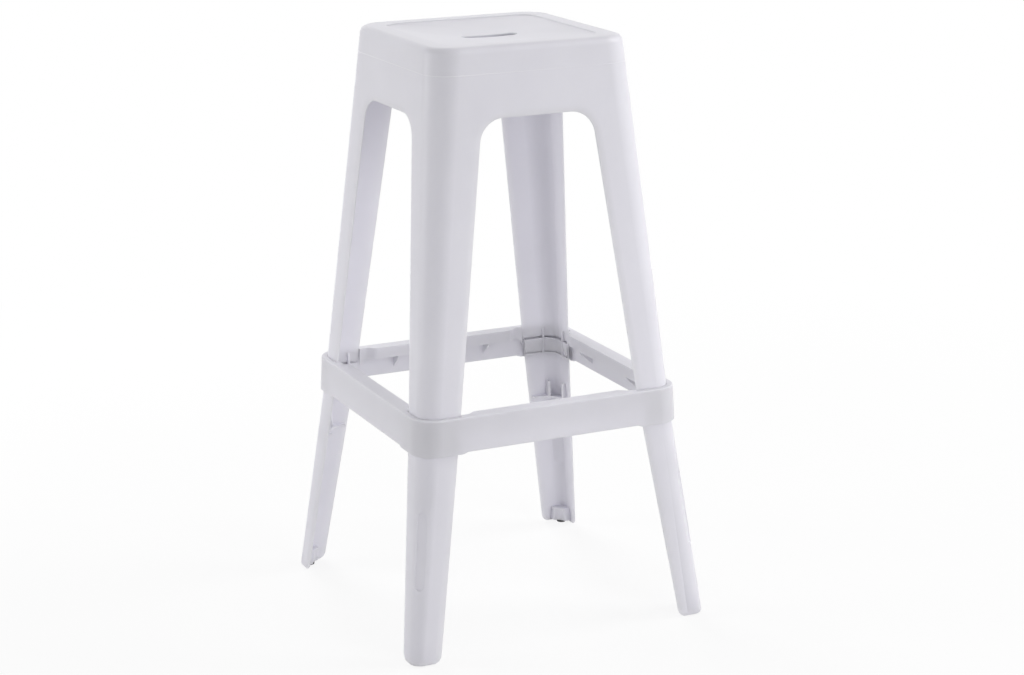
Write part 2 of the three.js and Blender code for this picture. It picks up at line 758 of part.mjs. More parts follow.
const stool = new THREE.Group();
stool.name = 'stacking_stool';
stool.add(piece('seat_body', geometryFrom(buildSeatBody()), bodyFinish));
stool.add(piece('footrest_ring', geometryFrom(buildRing()), ringFinish));

const legNames = ['front_left', 'front_right', 'rear_right', 'rear_left'];
const legGeometry = geometryFrom(buildLowerLeg());
const glideGeometry = geometryFrom(buildGlide());
legNames.forEach((legName, side) => {
  stool.add(piece(`lower_leg_${legName}`, legGeometry, bodyFinish, side));
  stool.add(piece(`foot_glide_${legName}`, glideGeometry, glideFinish, side));
});

export default stool;
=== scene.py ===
import json
import math

import bpy
from mathutils import Matrix, Vector

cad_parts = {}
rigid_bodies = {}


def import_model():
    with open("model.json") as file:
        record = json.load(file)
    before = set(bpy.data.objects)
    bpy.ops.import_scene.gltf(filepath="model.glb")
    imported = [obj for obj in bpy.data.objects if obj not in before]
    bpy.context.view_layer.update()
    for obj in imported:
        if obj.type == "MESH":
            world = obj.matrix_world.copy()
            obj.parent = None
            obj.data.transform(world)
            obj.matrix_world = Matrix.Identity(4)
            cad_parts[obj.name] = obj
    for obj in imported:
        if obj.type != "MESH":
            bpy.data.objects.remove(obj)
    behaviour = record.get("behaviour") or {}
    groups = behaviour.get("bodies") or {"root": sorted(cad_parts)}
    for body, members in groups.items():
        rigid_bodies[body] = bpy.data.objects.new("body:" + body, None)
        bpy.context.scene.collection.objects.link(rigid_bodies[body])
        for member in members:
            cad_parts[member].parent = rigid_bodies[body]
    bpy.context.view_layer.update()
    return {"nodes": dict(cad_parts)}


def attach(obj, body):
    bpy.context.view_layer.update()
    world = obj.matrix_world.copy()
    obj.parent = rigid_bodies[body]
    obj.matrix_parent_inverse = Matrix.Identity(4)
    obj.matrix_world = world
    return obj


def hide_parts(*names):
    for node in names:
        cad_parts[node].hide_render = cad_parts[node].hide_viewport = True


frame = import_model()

print('frame loaded:', len(frame['nodes']), 'nodes')

# sizes in metres that the pieces share
form = {
    'height': 0.750, 'seatHalf': 0.1328, 'seatCorner': 0.0366,
    'kneeHeight': 0.28225, 'kneeHalf': 0.1748,
    'legBottom': 0.0009, 'footHalf': 0.2064, 'footCorner': 0.0159,
    'legAtSeat': 0.0706, 'legAtKnee': 0.0504, 'legAtFoot': 0.0381,
    'wall': 0.0036, 'bandWidth': 0.0093, 'bandDepth': 0.0024,
    'stackPitch': 0.1089,
    'cornerSteps': 16, 'fit': 0.0003, 'smoothAngle': 32,
    # how far cutters stand out and blocks reach, what is merged, the size of a first point
    'over': 0.006, 'reach': 0.4, 'sliver': 0.00002, 'weld': 0.00001, 'seed': 0.001,
}
quarterTurn = math.pi / 2
sides = range(4)
signs = (-1, 1)


def between(low, high, share):
    return low + (high - low) * share


def upperShare(z):
    return (z - form['kneeHeight']) / (form['height'] - form['kneeHeight'])


def lowerShare(z):
    return (z - form['legBottom']) / (form['kneeHeight'] - form['legBottom'])


def halfAt(z):
    # half the side of the outer form, square at every height
    if z >= form['kneeHeight']:
        return between(form['kneeHalf'], form['seatHalf'], upperShare(z))
    return lowerHalfAt(z)


def lowerHalfAt(z):
    # the lean of the lower legs, also carried on above the knee
    return between(form['footHalf'], form['kneeHalf'], lowerShare(z))


def legWidthAt(z):
    if z >= form['kneeHeight']:
        return between(form['legAtKnee'], form['legAtSeat'], upperShare(z))
    return between(form['legAtFoot'], form['legAtKnee'], lowerShare(z))


def cornerAt(z):
    share = (z - form['legBottom']) / (form['height'] - form['legBottom'])
    return between(form['footCorner'], form['seatCorner'], share)


def rounding(radius, steps):
    # along a rounded edge: how far up it has come and how far in it still is
    angles = [step / steps * quarterTurn for step in range(steps + 1)]
    return [(radius * (1 - math.cos(angle)), radius * (1 - math.sin(angle))) for angle in angles]


# modelling steps that the pieces share
def pick(piece):
    bpy.ops.object.select_all(action='DESELECT')
    bpy.context.view_layer.objects.active = piece
    piece.select_set(True)


def editAll(piece):
    pick(piece)
    bpy.ops.object.mode_set(mode='EDIT')
    bpy.ops.mesh.select_all(action='SELECT')


def startPiece(name):
    # an empty mesh, open in edit mode
    bpy.ops.object.select_all(action='DESELECT')
    bpy.ops.mesh.primitive_plane_add(size=form['seed'])
    piece = bpy.context.object
    piece.name = name
    piece.data.name = name
    bpy.ops.object.mode_set(mode='EDIT')
    bpy.ops.mesh.select_mode(type='VERT')
    bpy.ops.mesh.delete(type='VERT')
    return piece


def addSquare(half, corner, height):
    # a level square with round corners
    bpy.ops.mesh.primitive_plane_add(size=2 * half, location=(0, 0, height))
    bpy.ops.mesh.bevel(offset=corner, affect='VERTICES', segments=form['cornerSteps'])


def drawPath(points):
    # one corner after another
    bpy.ops.mesh.primitive_plane_add(size=form['seed'], location=points[0])
    bpy.ops.mesh.merge(type='CENTER')
    for start, end in zip(points, points[1:]):
        bpy.ops.mesh.extrude_vertices_move(TRANSFORM_OT_translate={'value': end - start})


def drawOutline(points):
    drawPath(points)
    bpy.ops.mesh.select_linked()
    bpy.ops.mesh.edge_face_add()


def selectGroup(index):
    bpy.context.object.vertex_groups.active_index = index
    bpy.ops.object.vertex_group_select()


def loft(outlines):
    # a skin from each outline to the next, closed at both ends
    for outline in outlines:
        if isinstance(outline, tuple):
            addSquare(*outline)
        else:
            drawOutline(outline)
        bpy.ops.object.vertex_group_assign_new()
        bpy.ops.mesh.delete(type='ONLY_FACE')
    last = len(outlines) - 1
    for level in range(last):
        bpy.ops.mesh.select_all(action='DESELECT')
        selectGroup(level)
        selectGroup(level + 1)
        bpy.ops.mesh.bridge_edge_loops()
    for level in (0, last):
        bpy.ops.mesh.select_all(action='DESELECT')
        selectGroup(level)
        bpy.ops.mesh.edge_face_add()
    bpy.ops.object.vertex_group_remove(all=True)
    bpy.ops.mesh.select_linked()


def addBlock(low, high):
    low, high = Vector(low), Vector(high)
    bpy.ops.mesh.primitive_cube_add(size=1, location=(low + high) / 2, scale=high - low)


def turnToSides():
    # the selected solid, once on each of the four sides
    for _ in sides[1:]:
        bpy.ops.mesh.duplicate()
        bpy.ops.transform.rotate(value=-quarterTurn, orient_axis='Z', center_override=(0, 0, 0))


def finishSolid():
    bpy.ops.mesh.select_all(action='SELECT')
    bpy.ops.mesh.normals_make_consistent(inside=False)
    bpy.ops.object.mode_set(mode='OBJECT')
    return bpy.context.object


def loftPiece(name, outlines, everySide=False):
    startPiece(name)
    loft(outlines)
    if everySide:
        turnToSides()
    return finishSolid()


def blockPiece(name, blocks, everySide=False):
    startPiece(name)
    for low, high in blocks:
        addBlock(low, high)
    if everySide:
        bpy.ops.mesh.select_all(action='SELECT')
        turnToSides()
    return finishSolid()


def applyModifier(piece, kind, **settings):
    pick(piece)
    modifier = piece.modifiers.new(kind.lower(), kind)
    for name, value in settings.items():
        setattr(modifier, name, value)
    bpy.ops.object.modifier_apply(modifier=modifier.name)
    return piece


def combine(piece, tool, operation):
    applyModifier(piece, 'BOOLEAN', object=tool, operation=operation, solver='MANIFOLD')
    bpy.data.objects.remove(tool)
    return piece


def cut(piece, tool):
    return combine(piece, tool, 'DIFFERENCE')


def join(piece, tool):
    return combine(piece, tool, 'UNION')


def keep(piece, tool):
    return combine(piece, tool, 'INTERSECT')


def sideFrame(topHeight):
    # X across the side that faces -Y, Y up its slope from the knee, Z out of it
    knee = Vector((0, -form['kneeHalf'], form['kneeHeight']))
    top = Vector((0, -halfAt(topHeight), topHeight))
    up = (top - knee).normalized()
    if topHeight < form['kneeHeight']:
        up.negate()
    across = Vector((1, 0, 0))
    out = across.cross(up)
    return Matrix.Translation(knee) @ Matrix((across, up, out)).transposed().to_4x4()


def slopeLength(z):
    length = math.hypot(z - form['kneeHeight'], halfAt(z) - form['kneeHalf'])
    return math.copysign(length, z - form['kneeHeight'])


def legEdge(farHeight):
    # a leg's inner edge on its side: its place at the knee, its lean and its slant length
    atKnee = form['kneeHalf'] - form['legAtKnee']
    atFar = halfAt(farHeight) - legWidthAt(farHeight)
    lean = (atKnee - atFar) / slopeLength(farHeight)
    return atKnee, lean, math.hypot(1, lean)


window = {
    'top': 0.6627, 'corner': 0.032, 'cornerSteps': 16, 'low': 0.26325, 'deep': 0.0065,
    'footRound': 0.010, 'footSteps': 10,
    'innerRound': 0.0004, 'outerRound': 0.0006, 'edgeSteps': 3,
}


def mirrored(points):
    return points + [(-x, y) for x, y in reversed(points)]


def upperOutline(margin):
    # the arch between two upper legs, open at the bottom
    atKnee, lean, slant = legEdge(form['height'])
    low = slopeLength(window['low']) - form['over']
    centreY = slopeLength(window['top']) - window['corner']
    centreX = atKnee - lean * centreY - window['corner'] * slant
    radius = window['corner'] + margin
    right = [(atKnee - lean * low + margin * slant, low)]
    for step in range(window['cornerSteps'] + 1):
        angle = between(math.atan(lean), quarterTurn, step / window['cornerSteps'])
        right.append((centreX + radius * math.cos(angle), centreY + radius * math.sin(angle)))
    return mirrored(right)


def lowerOutline(margin):
    # the space between two lower legs, flared at the feet
    atKnee, lean, slant = legEdge(form['legBottom'])
    low = slopeLength(form['legBottom'])
    high = -slopeLength(form['kneeHeight'] - form['over'])
    radius = window['footRound']
    right = [(atKnee - lean * low + margin * slant + radius, low - form['over'])]
    for rise, flare in rounding(radius, window['footSteps']):
        y = low + rise
        right.append((atKnee - lean * y + margin * slant + flare, y))
    right.append((atKnee - lean * high + margin * slant, high))
    return mirrored(right)


def standOut(outline, frameMatrix, depth):
    return [frameMatrix @ Vector((x, y, depth)) for x, y in outline]


def windowTool(outline, topHeight, margin=0.0):
    place = sideFrame(topHeight)
    return loftPiece('windowTool', [
        standOut(outline(margin), place, -window['deep'] - form['over']),
        standOut(outline(margin), place, form['over']),
    ], everySide=True)


def roundedWindowTool(outline, topHeight):
    # cuts the window and rounds its edge, inside the wall and along the band
    place = sideFrame(topHeight)
    steps, inner, outer = window['edgeSteps'], window['innerRound'], window['outerRound']
    slope = form['bandDepth'] / form['bandWidth']
    slant = math.hypot(1, slope)
    centre = outer * slope - form['bandDepth'] - outer * slant
    sections = [(inner, -window['deep'] - form['over'])]
    sections += [(inset, rise - form['wall']) for rise, inset in rounding(inner, steps)]
    for step in range(steps + 1):
        angle = math.pi - step / steps * (quarterTurn - math.atan(slope))
        sections.append((outer * (1 + math.cos(angle)), centre + outer * math.sin(angle)))
    sections.append((sections[-1][0], form['over']))
    outlines = [standOut(outline(margin), place, depth) for margin, depth in sections]
    return loftPiece('windowTool', outlines, everySide=True)


def bandTool(outline, topHeight):
    # cuts the sloped band along a window's edge
    place = sideFrame(topHeight)
    return loftPiece('bandTool', [
        standOut(outline(0), place, -form['bandDepth']),
        standOut(outline(form['bandWidth']), place, 0),
        standOut(outline(form['bandWidth']), place, form['over']),
    ], everySide=True)


def mergeClose(piece):
    # takes out the slivers that the cuts leave
    editAll(piece)
    bpy.ops.mesh.remove_doubles(threshold=form['sliver'])
    bpy.ops.mesh.dissolve_degenerate(threshold=form['weld'])
    bpy.ops.object.mode_set(mode='OBJECT')
    return piece


def smooth(piece):
    pick(piece)
    bpy.ops.object.shade_smooth_by_angle(angle=math.radians(form['smoothAngle']))
    return applyModifier(piece, 'WEIGHTED_NORMAL', keep_sharp=True)


# seat, skirt and upper legs
seat = {
    'wall': 0.004, 'edgeRadius': 0.010, 'edgeSteps': 10,
    'rim': 0.0268, 'rimFall': 0.00005,
    'stepWidth': 0.0024, 'stepDrop': 0.0016, 'stepSteps': 6, 'recessCorner': 0.021,
    'dish': 0.0074, 'dishRings': 16, 'cornerLimit': 0.999,
    'slotLength': 0.075, 'slotWidth': 0.018, 'slotLip': 0.0007, 'slotSteps': 20, 'lipSteps': 4,
    'slotThin': 0.0010, 'slotRelief': 0.003, 'reliefRise': 0.0004,
    'collarWall': 0.0026, 'collarDepth': 0.013,
    'ribThickness': 0.0022, 'ribDepth': 0.015, 'ribCrown': 0.005, 'ribSteps': 12,
    'ribOffsets': (0.042, 0.086), 'crossRibOffsets': (0.053, 0.092),
    'witnessHeight': 0.717, 'witnessHalf': 0.0004, 'witnessProud': 0.00025,
}
dishFloor = form['height'] - seat['stepDrop'] - seat['dish']


def seatOutlines(depth):
    # from the skirt over the rounded edge and the rim, down the step and into the dish
    centreZ = form['height'] - seat['edgeRadius']
    lean = math.atan((form['kneeHalf'] - form['seatHalf']) / (form['height'] - form['kneeHeight']))
    centreHalf = halfAt(centreZ) - seat['edgeRadius'] / math.cos(lean)
    cornerInset = halfAt(centreZ) - cornerAt(centreZ)
    drop = depth * seat['wall'] / form['wall']
    outlines = []
    for step in range(seat['edgeSteps'] + 1):
        angle = between(lean, quarterTurn, step / seat['edgeSteps'])
        half = centreHalf + (seat['edgeRadius'] - depth) * math.cos(angle)
        z = centreZ + (seat['edgeRadius'] - drop) * math.sin(angle)
        outlines.append((half, half - cornerInset, z))
    surface = form['height'] - drop
    rimHalf = form['seatHalf'] - seat['rim']
    recessHalf = rimHalf - seat['stepWidth']
    for step in range(seat['stepSteps'] + 1):
        share = step / seat['stepSteps']
        fall = share * share * (3 - 2 * share)
        outlines.append((between(rimHalf, recessHalf, share),
                         seat['recessCorner'] + seat['stepWidth'] * (1 - share),
                         surface - between(seat['rimFall'], seat['stepDrop'], fall)))
    for level in range(1, seat['dishRings']):
        share = 1 - level / seat['dishRings']
        half = recessHalf * share
        roundest = half * seat['cornerLimit']
        radius = between(roundest, min(seat['recessCorner'], roundest), share * share)
        z = surface - seat['stepDrop'] - seat['dish'] * (1 - share * share)
        outlines.append((half, radius, z))
    return outlines


def formOutline(z, depth):
    return (halfAt(z) - depth, cornerAt(z) - depth, z)


def bodyOutlines(depth):
    # the outer form with its mould line, or one that lies inside it
    if depth > 0:
        return [formOutline(form['kneeHeight'] - form['over'], depth), *seatOutlines(depth)]
    low = seat['witnessHeight'] - seat['witnessHalf']
    high = seat['witnessHeight'] + seat['witnessHalf']
    proud = seat['witnessProud']
    return [
        formOutline(form['kneeHeight'], 0),
        formOutline(low, 0),
        formOutline(low + proud, -proud),
        formOutline(high - proud, -proud),
        formOutline(high, 0),
        *seatOutlines(0),
    ]


def stadium(length, width, steps):
    straight = (length - width) / 2
    points = []
    for end in (1, -1):
        for step in range(steps + 1):
            angle = step / steps * math.pi - quarterTurn
            points.append((end * (straight + width / 2 * math.cos(angle)),
                           end * width / 2 * math.sin(angle)))
    return points


def slotOutline(margin, z):
    length, width = seat['slotLength'] + 2 * margin, seat['slotWidth'] + 2 * margin
    return [Vector((x, y, z)) for x, y in stadium(length, width, seat['slotSteps'])]


def slotTool():
    # wide below, then a thin lip with a rounded edge
    lip, relief, lipLow = seat['slotLip'], seat['slotRelief'], dishFloor - seat['slotThin']
    outlines = [
        slotOutline(relief, dishFloor - seat['wall'] - seat['collarDepth'] - form['over']),
        slotOutline(relief, lipLow - seat['reliefRise']),
        slotOutline(0, lipLow),
    ]
    outlines += [slotOutline(rise, dishFloor - inset)
                 for rise, inset in rounding(lip, seat['lipSteps'])]
    outlines.append(slotOutline(lip, dishFloor + form['over']))
    return loftPiece('slotTool', outlines)


def seatRibs():
    # crossing ribs with arched lower edges, and the collar of the slot
    startPiece('seatRibs')
    low = dishFloor - seat['wall'] - seat['ribDepth']
    half = halfAt(low)
    profile = [(half, form['height']), (-half, form['height'])]
    for step in range(seat['ribSteps'] + 1):
        share = 2 * step / seat['ribSteps'] - 1
        profile.append((share * half, low + seat['ribCrown'] * (1 - share * share)))
    thick = seat['ribThickness'] / 2
    for offset in seat['ribOffsets']:
        for sign in signs:
            loft([[Vector((x, sign * offset + y, z)) for x, z in profile]
                  for y in (-thick, thick)])
    ribs = finishSolid()
    startPiece('crossRibs')
    for offset in seat['crossRibOffsets']:
        for sign in signs:
            loft([[Vector((sign * offset + x, y, z)) for y, z in profile]
                  for x in (-thick, thick)])
    join(ribs, finishSolid())
    top = dishFloor - seat['wall'] / 2
    width = seat['slotRelief'] + seat['collarWall']
    join(ribs, loftPiece('collar', [
        slotOutline(width, top - seat['wall'] / 2 - seat['collarDepth']),
        slotOutline(width, top)]))
    return keep(ribs, loftPiece('ribSpace', bodyOutlines(form['wall'] / 2)))


# the ring's sizes stand here, because its stops on the legs need them too
ring = {
    'bottom': 0.2593, 'height': 0.0459, 'topHalf': 0.1804, 'bottomHalf': 0.1825, 'corner': 0.031,
    'edgeRadius': 0.0018, 'edgeSteps': 5, 'footRound': 0.0008,
    'openingRound': 0.0002, 'openingSteps': 2,
    'wall': 0.003, 'flange': 0.003, 'flangeWidth': 0.0204,
    'straightHalf': 0.0967, 'notchSide': 0.0046, 'bendShare': 0.67, 'bendSteps': 12,
    'lipWall': 0.0024, 'lipHeight': 0.0152, 'lipEndHeight': 0.025, 'lipArch': 0.010, 'lipSteps': 8,
    'gussetOffset': 0.067, 'gussetThickness': 0.0022,
    'gussetHeight': 0.0175, 'gussetDrop': 0.0165,
    'skirtRise': 0.0024, 'skirtRamp': 0.007,
    'padThickness': 0.0024, 'padGap': 0.0024, 'padSpacing': 0.009,
}
ringTop = ring['bottom'] + ring['height']
flangeBottom = ringTop - ring['flange']
flangeHalf = ring['topHalf'] - ring['flangeWidth']

stops = {'width': 0.009, 'height': 0.009, 'proud': 0.0032, 'offset': 0.026}
stopPlace = halfAt(flangeBottom) - stops['offset']


def ringStops():
    top = flangeBottom - form['fit']
    low = top - stops['height']
    profile = [(halfAt(top) + stops['proud'], top), (halfAt(top) - form['wall'] / 2, top),
               (halfAt(low) - form['wall'] / 2, low), (halfAt(low), low)]
    startPiece('ringStops')
    for sign in signs:
        middle = sign * stopPlace
        ends = (middle - stops['width'] / 2, middle + stops['width'] / 2)
        loft([[Vector((x, -y, z)) for y, z in profile] for x in ends])
    bpy.ops.mesh.select_all(action='SELECT')
    turnToSides()
    return finishSolid()


knee = {
    'tongueLength': 0.019, 'tongueWall': 0.0026, 'ledge': 0.0036, 'setback': 0.0012,
    'ribHeight': 0.0146, 'ribThickness': 0.0022, 'ribProud': 0.0008,
    'ribOffsets': (0.021, 0.038),
    'grooveHeight': 0.0024, 'grooveWall': 0.0012, 'grooveLip': 0.0012, 'wallLeft': 0.0006,
}
tongueBottom = form['kneeHeight'] - knee['tongueLength']
tongueOuter = form['wall'] + form['fit']
tongueInner = tongueOuter + knee['tongueWall']
rootDepth = (form['bandDepth'] + form['wall']) / 2


def lowerFormOutline(z, depth):
    return (lowerHalfAt(z) - depth, cornerAt(z) - depth, z)


def bigBlock(low, high):
    reach = form['reach']
    return blockPiece('bigBlock', [((-reach, -reach, low), (reach, reach, high))])


def wallRibBlock(offset, face, thickness, innerHalf, low, high):
    # a rib that stands out from one of the two walls at the corner of -X and -Y
    place = halfAt((low + high) / 2) - offset
    near, far = -place - thickness / 2, -place + thickness / 2
    if face == 0:
        return ((near, -form['reach'], low), (far, -innerHalf, high))
    return ((-form['reach'], near, low), (-innerHalf, far, high))


def tongues():
    # what goes down into the four lower legs, with the ledge that stands on them
    kneeHeight, over = form['kneeHeight'], form['over']
    ledgeTop = kneeHeight + knee['ledge']
    ribTop = ledgeTop + knee['ribHeight']
    stemSections = [lowerFormOutline(z, tongueOuter) for z in (tongueBottom, ledgeTop)]
    stem = loftPiece('stem', stemSections)
    neck = keep(loftPiece('neck', bodyOutlines(rootDepth)), bigBlock(kneeHeight, ledgeTop))
    ribRoom = keep(loftPiece('ribRoom', bodyOutlines(rootDepth)), bigBlock(kneeHeight, ribTop))
    join(ribRoom, loftPiece('stemAgain', stemSections))
    join(stem, neck)
    levels = (tongueBottom - over, kneeHeight + 2 * over)
    cut(stem, loftPiece('stemHollow', [lowerFormOutline(z, tongueInner) for z in levels]))
    inner = halfAt(kneeHeight) - tongueInner - knee['ribProud']
    startPiece('kneeRibs')
    for face, offset in enumerate(knee['ribOffsets']):
        addBlock(*wallRibBlock(offset, face, knee['ribThickness'], inner, tongueBottom, ribTop))
        turnToSides()
    ribs = keep(finishSolid(), ribRoom)
    grooveOuter = tongueOuter + knee['wallLeft']
    cut(stem, kneeGroove(tongueBottom + knee['grooveLip'], grooveOuter, tongueInner))
    join(stem, ribs)
    return cut(stem, windowTool(lowerOutline, form['legBottom'], knee['setback']))


def kneeGroove(low, outer, inner):
    # a flat ring-shaped cutter that opens on the inner side of all four legs
    over, high = form['over'], low + knee['grooveHeight']
    groove = loftPiece('kneeGroove', [formOutline(z, outer) for z in (low, high)])
    core = [formOutline(z, inner + over) for z in (low - over, high + over)]
    return cut(groove, loftPiece('kneeGrooveCore', core))


def buildSeatBody():
    body = loftPiece('seatBody', bodyOutlines(0))
    cut(body, bandTool(upperOutline, form['height']))
    cut(body, loftPiece('hollow', bodyOutlines(form['wall'])))
    join(body, seatRibs())
    cut(body, kneeGroove(form['kneeHeight'] + knee['ledge'], knee['grooveWall'], form['wall']))
    join(body, tongues())
    join(body, ringStops())
    cut(body, roundedWindowTool(upperOutline, form['height']))
    cut(body, slotTool())
    return smooth(mergeClose(body))


# footrest ring
def bezier(start, startHandle, endHandle, end, steps):
    points = []
    for step in range(steps + 1):
        t = step / steps
        s = 1 - t
        shares = (s ** 3, 3 * s * s * t, 3 * s * t * t, t ** 3)
        corners = (start, startHandle, endHandle, end)
        points.append(tuple(sum(k * c[axis] for k, c in zip(shares, corners)) for axis in (0, 1)))
    return points


def flangeEdge(z, growth, trim=0.0):
    # from the left leg to the right one: it draws back beside the legs and bows in between them
    legGap = halfAt(z) - legWidthAt(z) - form['fit'] - trim
    notch = -halfAt(ringTop + form['stackPitch']) - ring['notchSide'] - growth
    inner = -flangeHalf - growth
    bendEnd = between(ring['straightHalf'], legGap, ring['bendShare'])
    middle = (ring['straightHalf'] + bendEnd) / 2
    bend = bezier((-bendEnd, notch), (-middle, notch), (-middle, inner),
                  (-ring['straightHalf'], inner), ring['bendSteps'])
    left = [(-legGap, notch), *bend]
    return left + [(-x, y) for x, y in reversed(left)]


def cornerArc(half, radius, side):
    # a quarter of a circle at one corner of a square
    centre, steps = half - radius, form['cornerSteps']
    start = math.pi + side * quarterTurn
    middle = start + quarterTurn / 2
    centreX = math.copysign(centre, math.cos(middle))
    centreY = math.copysign(centre, math.sin(middle))
    angles = [start + step / steps * quarterTurn for step in range(steps + 1)]
    return [(centreX + radius * math.cos(angle), centreY + radius * math.sin(angle))
            for angle in angles]


def openingOutline(z, growth):
    # round the four legs and along the flange's four inner edges
    half = halfAt(z) + form['fit'] + growth
    edge = flangeEdge(ringTop, growth, growth)
    path = [(edge[0][0], -half), *edge, (-edge[0][0], -half)]
    points = []
    for side in sides:
        turn = Matrix.Rotation(side * quarterTurn, 2)
        points += cornerArc(half, cornerAt(z) + form['fit'] + growth, side)
        points += [tuple(turn @ Vector(point)) for point in path]
    return [Vector((x, y, z)) for x, y in points]


def openingTool():
    radius = ring['openingRound']
    outlines = [openingOutline(flangeBottom - ring['flange'] / 2, 0)]
    outlines += [openingOutline(ringTop - inset, rise)
                 for rise, inset in rounding(radius, ring['openingSteps'])]
    outlines.append(openingOutline(ringTop + form['over'], radius))
    return loftPiece('ringOpening', outlines)


def ringLip():
    # hangs from the flange's inner edge and arches down to the legs
    inner = flangeEdge(ringTop, 0)
    outer = list(reversed(flangeEdge(ringTop, ring['lipWall'])))
    heights = (ringTop - ring['lipEndHeight'], ringTop - ring['flange'] / 2)
    startPiece('ringLip')
    loft([[Vector((x, y, z)) for x, y in inner + outer] for z in heights])
    lip = finishSolid()
    archHalf, archTop = -inner[0][0], ringTop - ring['lipHeight']
    right = [(archHalf, archTop - ring['lipEndHeight'])]
    right += [(archHalf - rise, archTop - inset)
              for rise, inset in rounding(ring['lipArch'], ring['lipSteps'])]
    ends = (-ring['topHalf'], form['over'] - flangeHalf)
    cut(lip, loftPiece('archTool', [[Vector((x, y, z)) for x, z in mirrored(right)] for y in ends]))
    editAll(lip)
    turnToSides()
    return finishSolid()


def ringGussets():
    outer = ring['topHalf'] - ring['wall'] / 2
    low = ringTop - ring['gussetHeight']
    profile = [(flangeHalf, ringTop - ring['flange'] / 2), (flangeHalf, low),
               (outer, low - ring['gussetDrop']), (outer, ringTop - ring['flange'] / 2)]
    startPiece('ringGussets')
    for sign in signs:
        middle = sign * ring['gussetOffset']
        ends = (middle - ring['gussetThickness'] / 2, middle + ring['gussetThickness'] / 2)
        loft([[Vector((x, -y, z)) for y, z in profile] for x in ends])
    bpy.ops.mesh.select_all(action='SELECT')
    turnToSides()
    return finishSolid()


def ringPads(outer, legSpace):
    # upright webs between the ring's wall and the legs
    nearest = stopPlace - (stops['width'] + ring['padThickness']) / 2 - ring['padGap']
    half, front = ring['padThickness'] / 2, ring['wall'] / 2 - ring['topHalf']
    blocks = []
    for place in (nearest, nearest - ring['padSpacing']):
        for sign in signs:
            middle = sign * place
            blocks.append(((middle - half, front, ring['bottom']),
                           (middle + half, -halfAt(ringTop), flangeBottom)))
    pads = blockPiece('ringPads', blocks, everySide=True)
    return cut(keep(pads, outer), legSpace)


def ringSkirtTool():
    # raises the ring's lower edge between the legs
    edge = form['kneeHalf'] - form['legAtKnee']
    ramp = ring['skirtRamp']
    low, rise = ring['bottom'], ring['bottom'] + ring['skirtRise']
    profile = [(-edge, low - form['over']), (edge, low - form['over']), (edge, low),
               (edge - ramp, rise), (ramp - edge, rise), (-edge, low)]
    ends = (-ring['bottomHalf'] - form['over'], -flangeHalf)
    sections = [[Vector((x, y, z)) for x, z in profile] for y in ends]
    return loftPiece('skirtTool', sections, everySide=True)


def ringHalfAt(z):
    return between(ring['bottomHalf'], ring['topHalf'], (z - ring['bottom']) / ring['height'])


def ringOuter(name):
    edgeHalf = ringHalfAt(ringTop - ring['edgeRadius'])
    outlines = []
    for rise, inset in rounding(ring['footRound'], ring['edgeSteps']):
        z = ring['bottom'] + rise
        outlines.append((ringHalfAt(z) - inset, ring['corner'] - inset, z))
    for rise, inset in rounding(ring['edgeRadius'], ring['edgeSteps']):
        outlines.append((edgeHalf - rise, ring['corner'] - rise, ringTop - inset))
    return loftPiece(name, outlines)


def buildRing():
    over = form['over']
    piece = ringOuter('footrestRing')
    levels = (ring['bottom'] - over, form['kneeHeight'], ringTop + over)
    legSpace = loftPiece('legSpace', [formOutline(z, -form['fit']) for z in levels])
    pads = ringPads(ringOuter('padRoom'), legSpace)
    channel = [(ringHalfAt(z) - ring['wall'], ring['corner'] - ring['wall'], z)
               for z in (ring['bottom'] - over, flangeBottom)]
    cut(piece, loftPiece('channel', channel))
    join(piece, pads)
    cut(piece, openingTool())
    join(piece, ringLip())
    join(piece, ringGussets())
    cut(piece, ringSkirtTool())
    return smooth(mergeClose(piece))


# lower legs
leg = {
    'shelfTop': 0.1993, 'shelf': 0.003, 'gussetHeight': 0.022, 'gussetThickness': 0.0022,
    'gussetOffsets': (0.0195, 0.034), 'shelfSetback': 0.005, 'stackGap': 0.0006,
    'oblongBottom': 0.0942, 'oblongTop': 0.1919, 'oblongWidth': 0.013, 'oblongDepth': 0.0018,
    'oblongSteps': 14, 'oblongFloorRound': 0.0003, 'oblongRimRound': 0.0004, 'oblongEdgeSteps': 3,
    'blockBottom': 0.0035, 'blockTop': 0.0223, 'blockWidth': 0.0256,
    'footRadius': 0.0035, 'footSteps': 6,
}
glide = {
    'inset': 0.013, 'radius': 0.0065, 'edge': 0.0008, 'edgeSteps': 5, 'stem': 0.003,
    'stemLength': 0.012, 'chamfer': 0.001, 'steps': 48, 'boreSteps': 32,
}
glideCentre = form['footHalf'] - glide['inset']


def quarterBlock(low, high):
    reach = form['reach']
    return blockPiece('quarter', [((-reach, -reach, low), (0, 0, high))])


def cornerPoint(z):
    # the middle of the rounded corner at -X and -Y
    reach = halfAt(z) - cornerAt(z) + cornerAt(z) / math.sqrt(2)
    return Vector((-reach, -reach, z))


def oblongTool(sections):
    # lies along the leg's outer corner
    up = (cornerPoint(leg['oblongTop']) - cornerPoint(leg['oblongBottom'])).normalized()
    across = Vector((1, -1, 0)).normalized()
    place = Matrix((across, up, across.cross(up))).transposed().to_4x4()
    place.translation = cornerPoint((leg['oblongBottom'] + leg['oblongTop']) / 2)
    length = leg['oblongTop'] - leg['oblongBottom']
    outlines = []
    for margin, depth in sections:
        width = leg['oblongWidth'] + 2 * margin
        points = stadium(length + 2 * margin, width, leg['oblongSteps'])
        outlines.append(standOut([(-y, x) for x, y in points], place, depth))
    return loftPiece('oblongTool', outlines)


